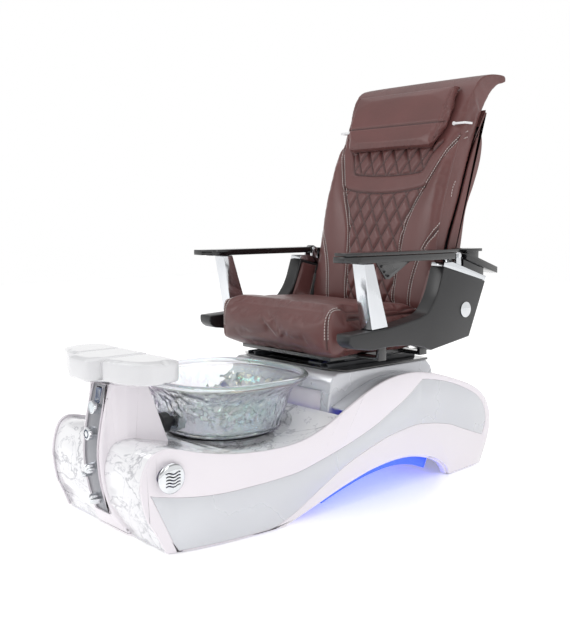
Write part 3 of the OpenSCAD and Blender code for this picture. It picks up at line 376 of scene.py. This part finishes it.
def bowl_mesh():
    """The bowl as one skin: up the outside, over the rolled rim, and down the inside."""
    floor_z, rim_z = bowl_low.z, bowl_high.z
    outer = [(drain_hole, floor_z, 0), (foot_half * 0.6, floor_z, 0),
             (foot_half * 0.94, floor_z + 0.001, 0)]
    for k in range(wall_rings + 1):
        t = k / wall_rings
        height = floor_z + foot_rise + (bowl_depth - lip_drop) * t
        outer.append((wall_radius(t), height, outer_ripple_mm * min(1, 4 * t, 5 * (1 - t))))
    rim = [(half_x, rim_z - 0.012, 0), (half_x, rim_z - 0.005, 0), (half_x - 0.004, rim_z, 0),
           (half_x - 0.014, rim_z, 0), (half_x - 0.018, rim_z - 0.005, 0)]
    inner = []
    for k in range(wall_rings, -1, -1):
        t = k / wall_rings
        height = floor_z + foot_rise + glass_t + (bowl_depth - 0.036) * t
        inner.append((wall_radius(t) - glass_t, height,
                      inner_ripple_mm * min(1, 4 * t, 5 * (1 - t))))
    inner += [(foot_half * 0.85, floor_z + glass_t, 0), (foot_half * 0.5, floor_z + glass_t, 0),
              (drain_hole, floor_z + glass_t, 0)]
    mesh = bmesh.new()
    rings = [[mesh.verts.new(p) for p in bowl_ring(r, r * half_y / half_x, z, ripple)]
             for r, z, ripple in outer + rim + inner]
    for near, far in zip(rings, rings[1:] + rings[:1]):
        for i in range(len(near)):
            j = (i + 1) % len(near)
            mesh.faces.new((near[i], near[j], far[j], far[i]))
    bmesh.ops.recalc_face_normals(mesh, faces=mesh.faces)
    data = bpy.data.meshes.new("bowl")
    mesh.to_mesh(data)
    mesh.free()
    smoothed(data, 60)
    return data


bowl = bpy.data.objects.new("foot_bowl_rippled_glass", bowl_mesh())
scene.collection.objects.link(bowl)
settle(bowl, "glass_bowl", glass)
hard("filler_spout", "filler_spout_casting", chrome, edge_mm=1.5)
hard("drain_fitting", "drain_flange", chrome, edge_mm=0.8)
hard("drain_stopper", "drain_stopper_cap", chrome, edge_mm=0.8)
hard("jet_housing", "jet_housing_moulding", knob_face, edge_mm=1.0)

# ---- Chair base and arms --------------------------------------------------------------------
# The chair's plate, rails and frame are painted steel. The arm shells are moulded in black
# plastic; each carries a bright aluminium post and strip, and a lift-up rest.
black_paint = finish("gloss_black_paint", "#0C0C0E", 0.16, tint="#141416", patch_mm=120, grain_mm=3,
                     relief_mm=0.02, Coat_Weight=0.7, Coat_Roughness=0.05)
grey_paint = finish("powder_coated_steel", "#3C3E43", 0.45, tint="#2E3034", patch_mm=90,
                    grain_mm=0.9, relief_mm=0.08)
black_abs = finish("moulded_abs_black", "#1D1D1F", 0.34, tint="#18181A", patch_mm=150, grain_mm=1.1,
                   relief_mm=0.05, Coat_Weight=0.15, Coat_Roughness=0.25)
gloss_black = finish("polished_abs_black", "#0C0C0E", 0.12, tint="#121214", patch_mm=110,
                     grain_mm=8, relief_mm=0.02, Coat_Weight=0.5, Coat_Roughness=0.05)
aluminium = finish("polished_aluminium", "#E3E5E8", 0.13, metallic=1.0, tint="#CDD0D4",
                   patch_mm=150, grain_mm=4, relief_mm=0.01)
hard("top_plate", "chair_mounting_plate", black_paint, edge_mm=1.5)
hard("slide_rails", "seat_slide_rails", grey_paint, edge_mm=0.6)
hard("slide_carriage", "seat_carriage", grey_paint, edge_mm=0.8)
hard("seat_frame", "seat_steel_frame", black_paint, edge_mm=1.2)
hard("slide_lever", "seat_slide_lever", grey_paint, edge_mm=0)
for hand in ("left", "right"):
    hard(f"arm_shell_{hand}", f"{hand}_arm_shell_moulding", black_abs, edge_mm=5.0, segments=4)
    hard(f"armrest_{hand}", f"{hand}_armrest_bar", gloss_black, edge_mm=3.0, segments=3)
hard("arm_posts", "arm_posts_bright", aluminium, edge_mm=4.0, segments=3)
hard("arm_trims", "arm_trim_strips", aluminium, edge_mm=1.2)
hard("arm_rear_caps", "arm_rear_cap_mouldings", gloss_black, edge_mm=1.5)
hard("arm_badges", "arm_badge_discs", chrome, edge_mm=0.8)
hard("hinge_pins", "hinge_pin_turnings", chrome, edge_mm=0.5)
hard("side_tray", "swing_out_tray", gloss_black, edge_mm=2.0, segments=3)
hard("tray_bracket", "tray_stay_bars", black_paint, edge_mm=0.6)

# ---- Upholstery: how a cushion is made ------------------------------------------------------
# Each pad is a foam block under sewn leather. The block's surface is remeshed, blown up a
# little as the foam pushes the cover out, and then drawn in again along its seams.


def leather_hide(name, light, dark):
    """Upholstery leather: brown, with a fine pebble grain and soft darker patches spread at random.
    The darker tone is the leather as it looks in shade, so the patches are partly random tone and
    partly painted shade.
    An attribute on each cover darkens it along its seams: painted shade in the grooves."""
    made = finish(name, light, 0.36, tint=dark, patch_mm=170, grain_mm=4, relief_mm=0.0, wear=0.05,
                  Sheen_Weight=0.03, Sheen_Roughness=0.4)
    tree, bsdf = made.node_tree, made.node_tree.nodes["Principled BSDF"]
    place = put(tree, "ShaderNodeTexCoord").outputs["Object"]
    pebble = put(tree, "ShaderNodeTexVoronoi", {"Vector": place}, Scale=1000 / 2.2)
    folds = put(tree, "ShaderNodeTexNoise", {"Vector": place}, Scale=1000 / 45, Detail=5.0,
                Distortion=0.6)
    heights = put(tree, "ShaderNodeMath", {0: folds.outputs["Fac"], 1: pebble.outputs["Distance"]},
                  operation="MULTIPLY_ADD")
    heights.inputs[2].default_value = 0.0
    bump = put(tree, "ShaderNodeBump", {"Height": heights.outputs[0]}, Distance=0.0006,
               Strength=0.55)
    tree.links.new(bump.outputs["Normal"], bsdf.inputs["Normal"])
    hide_colour = bsdf.inputs["Base Color"].links[0].from_socket
    # Painted shade: a near-black brown is mixed in along the seams and quilting lines, where the
    # grooves are shaded.
    painted_seam_shade = put(tree, "ShaderNodeAttribute", attribute_name="painted_seam_shade")
    seam_shade_mix = put(tree, "ShaderNodeMix", {"Factor": painted_seam_shade.outputs["Fac"]}, data_type="RGBA")
    tree.links.new(hide_colour, seam_shade_mix.inputs["A"])
    seam_shade_mix.inputs["B"].default_value = linear("#1C0F0E")
    tree.links.new(seam_shade_mix.outputs["Result"], bsdf.inputs["Base Color"])
    return made


leather = leather_hide("upholstery_leather_brown", "#6F4543", "#563634")
white_skin = finish("gloss_vinyl_white", "#DDDDDF", 0.16, tint="#D6D6D9", patch_mm=120, grain_mm=7,
                    relief_mm=0.05, Coat_Weight=0.6, Coat_Roughness=0.06)


def stuffed(node, piece, voxel_mm, pressure, cap_mm, pull_in_mm, relax=6):
    """A closed pad in the space of its frame node, swollen by cloth pressure."""
    obj = bpy.data.objects.new(piece, joined_copy(node))
    scene.collection.objects.link(obj)
    remesh = obj.modifiers.new("cover", "REMESH")
    remesh.mode, remesh.voxel_size = "VOXEL", voxel_mm / 1000
    ease = obj.modifiers.new("ease", "SMOOTH")
    ease.factor, ease.iterations = 0.5, relax
    flattened(obj)
    count = len(obj.data.vertices)
    start = np.empty(count * 3)
    normals = np.empty(count * 3)
    obj.data.vertices.foreach_get("co", start)
    obj.data.vertex_normals.foreach_get("vector", normals)
    start = (start - normals * pull_in_mm / 1000).reshape(-1, 3)
    obj.data.vertices.foreach_set("co", start.ravel())
    obj.data.update()
    cloth = obj.modifiers.new("swelling", "CLOTH")
    cloth.settings.quality = 4
    cloth.settings.mass = 0.3
    cloth.settings.tension_stiffness = cloth.settings.compression_stiffness = 22
    cloth.settings.shear_stiffness = 12
    cloth.settings.bending_stiffness = 6
    cloth.settings.use_pressure = True
    cloth.settings.uniform_pressure_force = pressure
    cloth.settings.effector_weights.gravity = 0
    cloth.collision_settings.use_collision = False
    for step in range(1, 21):
        scene.frame_set(step)
    flattened(obj)
    scene.frame_set(1)
    swollen = np.empty(count * 3)
    obj.data.vertices.foreach_get("co", swollen)
    move = swollen.reshape(-1, 3) - start
    length = np.linalg.norm(move, axis=1, keepdims=True)
    move *= np.minimum(1, cap_mm / 1000 / np.maximum(length, 1e-9))
    obj.data.vertices.foreach_set("co", (start + move).ravel())
    finer = obj.modifiers.new("finer", "SUBSURF")
    finer.levels = finer.render_levels = 1
    return flattened(obj)


def coordinates(obj):
    """Places and normals of the piece's points."""
    places = np.empty(len(obj.data.vertices) * 3)
    normals = np.empty(len(obj.data.vertices) * 3)
    obj.data.vertices.foreach_get("co", places)
    obj.data.vertex_normals.foreach_get("vector", normals)
    return places.reshape(-1, 3), normals.reshape(-1, 3)


def pressed(obj, depth_mm, painted_seam_shade=None):
    """Moves each point inwards by its own depth. The optional mask darkens the cover in its seams:
    painted shade in the grooves.
    """
    places, normals = coordinates(obj)
    moved = places - normals * (depth_mm / 1000)[:, None]
    obj.data.vertices.foreach_set("co", moved.ravel())
    obj.data.update()
    if painted_seam_shade is not None:
        shade = obj.data.attributes.new("painted_seam_shade", "FLOAT", "POINT")
        shade.data.foreach_set("value", np.clip(painted_seam_shade, 0, 1).astype(np.float32))


def away_from(points, line):
    """Distance of flat points from a broken line, in the line's units."""
    best = np.full(len(points), 1e9)
    for a, b in zip(line, line[1:]):
        a, b = np.array(a, float), np.array(b, float)
        along = np.clip(((points - a) @ (b - a)) / max((b - a) @ (b - a), 1e-9), 0, 1)
        best = np.minimum(best, np.linalg.norm(points - a - along[:, None] * (b - a), axis=1))
    return best


def within(points, outline):
    """Which flat points lie inside an outline."""
    inside = np.zeros(len(points), bool)
    for (ax, ay), (bx, by) in zip(outline, outline[1:] + outline[:1]):
        crosses = (ay > points[:, 1]) != (by > points[:, 1])
        at = ax + (points[:, 1] - ay) * (bx - ax) / ((by - ay) or 1e-9)
        inside ^= crosses & (points[:, 0] < at)
    return inside


def groove(distance, width_mm, depth_mm):
    return depth_mm * np.exp(-((distance / width_mm) ** 2))


def upholster(obj, node, material):
    obj.data.polygons.foreach_set("use_smooth", [True] * len(obj.data.polygons))
    settle(obj, node, material)


def flowing(points, per=6):
    """A smooth line through a few points."""
    p = [np.array(q, float) for q in points]
    p = [2 * p[0] - p[1], *p, 2 * p[-1] - p[-2]]
    line = []
    for a, b, c, d in zip(p, p[1:], p[2:], p[3:]):
        for k in range(per):
            t = k / per
            line.append(0.5 * (2 * b + (c - a) * t + (2 * a - 5 * b + 4 * c - d) * t**2
                               + (3 * b - a - 3 * c + d) * t**3))
    return [*line, p[-2]]


# ---- Backrest -------------------------------------------------------------------------------
# The back is one long pad with a quilted middle between two smooth bolsters. A smooth band
# crosses it, and the seams beside the quilting are sewn twice in white.
foot_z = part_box("back_cushion")[0].z
back = stuffed("back_cushion", "backrest_pad", 7.0, 3.0, 9, 6)
places, normals = coordinates(back)
flat = np.column_stack([places[:, 0] * 1000, (places[:, 2] - foot_z) * 1000])
facing = np.clip((-normals[:, 1] - 0.25) / 0.35, 0, 1) * (flat[:, 1] < 800)
mirrored = np.column_stack([np.abs(flat[:, 0]), flat[:, 1]])
bolster_seam = flowing([(318, 660), (262, 566), (210, 452), (168, 366), (140, 285), (130, 200),
                        (122, 60), (121, -5)])
outer_seam = flowing([(304, 318), (280, 275), (249, 220), (226, 160), (212, 90), (206, 0)])
band_low = flowing([(-206, 440), (-110, 424), (0, 418), (110, 424), (206, 440)])
band_high = flowing([(-230, 600), (-196, 560), (-172, 503), (-150, 492), (-80, 486), (0, 484),
                     (80, 486), (150, 492), (172, 503), (196, 560), (230, 600)])
seam_line = [tuple(q) for q in bolster_seam]
right_side = seam_line[8:]
left_side = [(-x, h) for x, h in reversed(right_side)]
quilt_low = [tuple(q) for q in band_low] + right_side + left_side
quilt_high = [tuple(q) for q in band_high]
DIAMOND_W, DIAMOND_H = 62.0, 102.0
first = flat[:, 0] / DIAMOND_W + flat[:, 1] / DIAMOND_H
second = flat[:, 0] / DIAMOND_W - flat[:, 1] / DIAMOND_H
upper = flat[:, 1] > 470
first, second = first + upper * 0.28, second - upper * 0.28
across_line = DIAMOND_W * DIAMOND_H / math.hypot(DIAMOND_W, DIAMOND_H)
to_line = across_line * np.minimum(np.abs(first - np.round(first)),
                                   np.abs(second - np.round(second)))
quilted = within(flat, quilt_low) | within(flat, quilt_high)
to_band = np.minimum(away_from(flat, band_low), away_from(flat, band_high))
edge_soft = np.clip(np.minimum(away_from(mirrored, seam_line), to_band) / 6, 0, 1)
in_quilt = quilted * edge_soft
depth = in_quilt * (groove(to_line, 6.5, 8.0) - 2.5)
# Painted shade along the quilting lines and seams, where the grooves are shaded.
painted_seam_shade = in_quilt * groove(to_line, 2.6, 0.75)
SEAMS = ((seam_line, 7.0, 10.0, mirrored), (outer_seam, 6.0, 6.0, mirrored),
         (band_low, 5.0, 7.0, flat), (band_high, 5.0, 7.0, flat))
for line, width, deep, on in SEAMS:
    gap = away_from(on, line)
    depth += groove(gap, width, deep)
    painted_seam_shade += groove(gap, 2.4, 0.8)
rising = bolster_seam[::-1]
bolster = np.interp(flat[:, 1], [q[1] for q in rising], [q[0] for q in rising])
share = np.clip((mirrored[:, 0] - bolster) / np.maximum(306 - bolster, 20), 0, 1)
crown = 12 * np.sin(np.pi * share) * (mirrored[:, 0] > bolster)
crown *= np.clip((640 - flat[:, 1]) / 120, 0, 1)
pressed(back, facing * (depth - crown), facing * painted_seam_shade)
upholster(back, "back_cushion", leather)
hard("rear_cover", "backrest_rear_cover", leather, edge_mm=5.0, segments=3)

# ---- Headrest -------------------------------------------------------------------------------
# A six-sided pillow lies on the upper back. Its cover has one seam across and one down each side.
pillow = stuffed("headrest_pillow", "headrest_pad", 5.0, 4.0, 10, 7)
places, normals = coordinates(pillow)
flat = np.column_stack([places[:, 0] * 1000, (places[:, 2] - foot_z) * 1000])
facing = np.clip((-normals[:, 1] - 0.1) / 0.3, 0, 1)
depth = groove(np.abs(flat[:, 1] - 668), 4.0, 5.0)
depth += groove(away_from(np.abs(flat), [(206, 560), (228, 668), (232, 830)]), 4.0, 4.0)
# The last mask paints shade into the cross seam.
pressed(pillow, facing * depth, facing * groove(np.abs(flat[:, 1] - 668), 2.2, 0.7))
upholster(pillow, "headrest_pillow", leather)

# ---- Seat -----------------------------------------------------------------------------------
# The seat is a thick boxed cushion. A seam runs round its top edge and down the front corners.
seat_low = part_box("seat_cushion")[0]
SEAT_SEAM_X = 266
seat = stuffed("seat_cushion", "seat_pad", 7.0, 3.5, 14, 9, relax=40)
places, normals = coordinates(seat)
x_mm = np.abs(places[:, 0]) * 1000
back_mm = (places[:, 1] - seat_low.y) * 1000
up_mm = (places[:, 2] - seat_low.z) * 1000
side_gap = np.where(normals[:, 2] > -0.3, np.abs(x_mm - SEAT_SEAM_X), 99)
rear_gap = np.where((np.abs(normals[:, 0]) > 0.5) & (back_mm > 90), np.abs(up_mm - 122), 99)
dip = groove(np.abs(back_mm - 150 - x_mm * 0.12), 26.0, 4.0) * (normals[:, 2] > 0.5)
# The last mask paints shade into the seams.
pressed(seat, groove(side_gap, 5.0, 6.0) + groove(rear_gap, 5.0, 5.0) + dip,
        groove(np.minimum(side_gap, rear_gap), 2.4, 0.7))
upholster(seat, "seat_cushion", leather)

# ---- Arm pads and straps --------------------------------------------------------------------
# A thin upholstered pad lines each arm on the inside. A white strap with a stud holds each
# shoulder of the back's cover.
arm_pads = stuffed("arm_inner_pads", "arm_lining_pads", 3.0, 2.0, 3, 1.5, relax=2)
upholster(arm_pads, "arm_inner_pads", leather)
strap_vinyl = finish("strap_vinyl_white", "#E9E9EB", 0.35, tint="#DADADD", patch_mm=20,
                     grain_mm=1.5, relief_mm=0.04)
hard("shoulder_straps", "shoulder_straps_studded", strap_vinyl, edge_mm=1.2)

# ---- Footrest -------------------------------------------------------------------------------
# The footrest is a firm pad in glossy white vinyl with three lobes, and a seam between them.
footrest = stuffed("footrest", "footrest_pad", 5.0, 3.0, 6, 4, relax=14)
places, normals = coordinates(footrest)
lobe_gap = np.where(normals[:, 2] > -0.2, np.abs(np.abs(places[:, 0] * 1000) - 74), 99)
pressed(footrest, groove(lobe_gap, 6.0, 8.0))
upholster(footrest, "footrest", white_skin)

# ---- Stitching ------------------------------------------------------------------------------
# White thread in short stitches follows each seam in one or two rows. The thread is drawn
# about twice as thick as the real one, so that it shows.
thread = finish("polyester_thread_white", "#F0EDEA", 0.5, tint="#E0DAD6", patch_mm=10,
                grain_mm=0.6, relief_mm=0.05)


def stitch_tree(material):
    """Geometry nodes: short rounded stitches set end to end along the rows."""
    tree = bpy.data.node_groups.new("stitch_rows", "GeometryNodeTree")
    tree.interface.new_socket("Geometry", in_out="INPUT", socket_type="NodeSocketGeometry")
    for label, default in (("Pitch", 0.009), ("Stitch length", 0.0062), ("Thread radius", 0.0009)):
        size = tree.interface.new_socket(label, in_out="INPUT", socket_type="NodeSocketFloat")
        size.default_value = default
    tree.interface.new_socket("Geometry", in_out="OUTPUT", socket_type="NodeSocketGeometry")
    entry, leave = put(tree, "NodeGroupInput"), put(tree, "NodeGroupOutput")
    rows = put(tree, "GeometryNodeMeshToCurve", {"Mesh": entry.outputs["Geometry"]})
    spots = put(tree, "GeometryNodeCurveToPoints",
                {"Curve": rows.outputs["Curve"], "Length": entry.outputs["Pitch"]}, mode="LENGTH")
    body = put(tree, "GeometryNodeMeshCylinder",
               {"Radius": entry.outputs["Thread radius"], "Depth": entry.outputs["Stitch length"]},
               Vertices=6)
    placed = put(tree, "GeometryNodeInstanceOnPoints",
                 {"Points": spots.outputs["Points"], "Instance": body.outputs["Mesh"],
                  "Rotation": spots.outputs["Rotation"]})
    real = put(tree, "GeometryNodeRealizeInstances", {"Geometry": placed.outputs["Instances"]})
    coated = put(tree, "GeometryNodeSetMaterial", {"Geometry": real.outputs["Geometry"]},
                 Material=material)
    tree.links.new(coated.outputs["Geometry"], leave.inputs["Geometry"])
    return tree


rows_of_stitches = stitch_tree(thread)


def sewn(piece, body, rows):
    """Rows of stitches, each row a list of places on the cover."""
    verts, edges = [], []
    for row in rows:
        start = len(verts)
        verts += [tuple(p) for p in row]
        edges += [(i, i + 1) for i in range(start, len(verts) - 1)]
    mesh = bpy.data.meshes.new(piece)
    mesh.from_pydata(verts, edges, [])
    obj = bpy.data.objects.new(piece, mesh)
    scene.collection.objects.link(obj)
    obj.modifiers.new("stitches", "NODES").node_group = rows_of_stitches
    flattened(obj)
    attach(obj, body)
    return obj


def on_cover(obj, points, heading, lift=0.0006):
    """Drops points on a cover along a heading, and keeps those that land."""
    tree = BVHTree.FromObject(obj, bpy.context.evaluated_depsgraph_get())
    heading = Vector(heading).normalized()
    landed = []
    for p in points:
        hit, *_ = tree.ray_cast(Vector(p) - heading * 0.6, heading)
        if hit is not None:
            landed.append(hit - heading * lift)
    return landed


def beside(line, gap):
    """The same flat line, moved sideways."""
    line = [np.array(q, float) for q in line]
    moved = []
    for i, q in enumerate(line):
        t = line[min(i + 1, len(line) - 1)] - line[max(i - 1, 0)]
        t = t / np.linalg.norm(t)
        moved.append(q + gap * np.array([t[1], -t[0]]))
    return moved


back_rows = []
row_gap_mm = 6
shoulder_edge = flowing([(297, 622), (296, 520), (295, 420), (293, 330)])
for hand in (-1, 1):
    row = [(hand * x / 1000, 0, foot_z + h / 1000) for x, h in shoulder_edge]
    back_rows.append(on_cover(back, row, (0, 1, 0)))
    for gap in (-row_gap_mm, row_gap_mm):
        for seam in (bolster_seam, outer_seam):
            row = [(hand * x / 1000, 0, foot_z + h / 1000) for x, h in beside(seam, gap) if x < 300]
            back_rows.append(on_cover(back, row, (0, 1, 0)))
sewn("backrest_white_stitching", "backrest", back_rows)
seat_rows = []
nose_y, nose_z = seat_low.y + 0.09, seat_low.z + 0.09
for hand in (-1, 1):
    for gap in (-row_gap_mm, row_gap_mm):
        side_x = hand * (SEAT_SEAM_X + gap) / 1000
        row = []
        for a in np.linspace(-0.35, 1.35, 40):
            outside = (side_x, nose_y - 0.3 * math.cos(a), nose_z + 0.3 * math.sin(a))
            row += on_cover(seat, [outside], (0, nose_y - outside[1], nose_z - outside[2]))
        seat_rows.append(row)
sewn("seat_white_stitching", "seat", seat_rows)

# ---- Pieces inside --------------------------------------------------------------------------
# Steel frame, feet, pump, pipes and boxes are plain bought-in or welded parts.
rubber = finish("moulded_rubber_black", "#1D1D1E", 0.6, tint="#262627", patch_mm=20,
                grain_mm=1.0, relief_mm=0.05)
pipe_pvc = finish("extruded_pvc_white", "#D3D2CC", 0.35, tint="#C6C5BE", patch_mm=60,
                  grain_mm=2, relief_mm=0.02)
brass = finish("cast_brass", "#B08D4F", 0.3, metallic=1.0, tint="#93733C", patch_mm=30,
               grain_mm=1.0, relief_mm=0.03)
INSIDE = {
    "base_frame": grey_paint, "leveling_feet": rubber, "bowl_gasket": rubber, "drain_pipe": pipe_pvc,
    "drain_pump": black_abs, "mixing_valve": brass, "supply_pipes": brass, "jet_motor": black_abs,
    "control_box": black_abs, "footrest_bracket": grey_paint, "jet_impeller": black_abs,
    "back_frame": grey_paint, "massage_unit": black_abs,
}
for node, material in INSIDE.items():
    mesh = frame["nodes"][node].data
    mesh.materials.clear()
    mesh.materials.append(material)
